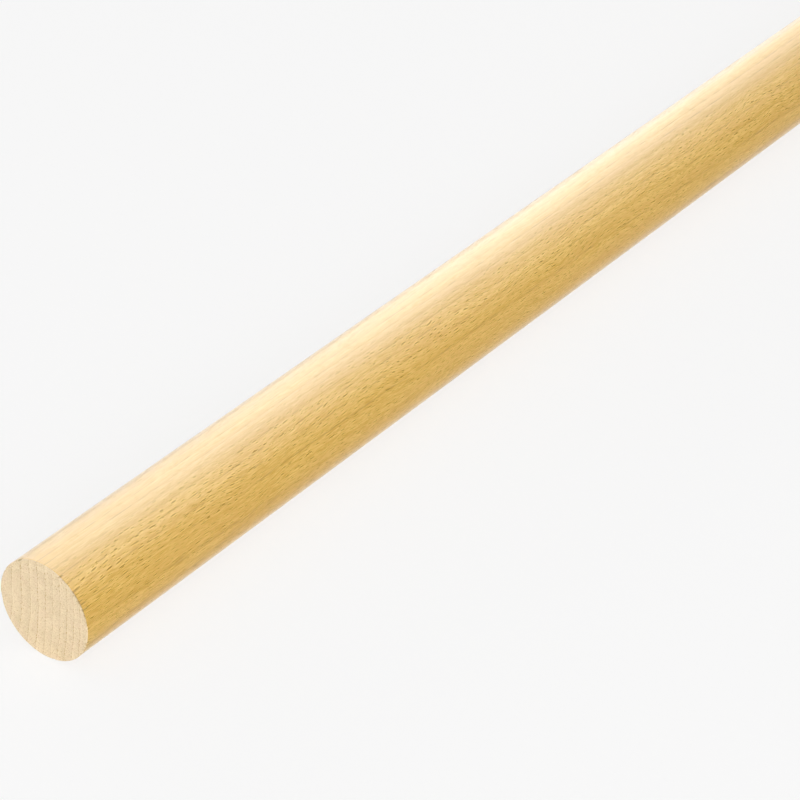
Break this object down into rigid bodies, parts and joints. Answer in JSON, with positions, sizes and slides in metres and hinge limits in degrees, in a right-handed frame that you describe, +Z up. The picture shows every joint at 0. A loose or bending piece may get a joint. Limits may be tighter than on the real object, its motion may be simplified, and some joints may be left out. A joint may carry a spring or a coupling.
{
  "type": "wooden dowel rod",
  "caption": "Straight round beech dowel rod, a solid length of turned wood sawn square at its ends, for rails, pegs, axles and frames.",
  "frame": {"origin": "on the bench under the rod's middle, one radius below its axis", "axes": "+X along the rod's axis, +Z up as it lies on a bench"},
  "size_m": [1, 0.04, 0.0398],
  "materials": {
    "beech": "fine-sanded bare beech, satin, with short dark ray flecks along the grain"
  },
  "bodies": {
    "root": {"dowel_rod": "beech"}
  },
  "joints": []
}
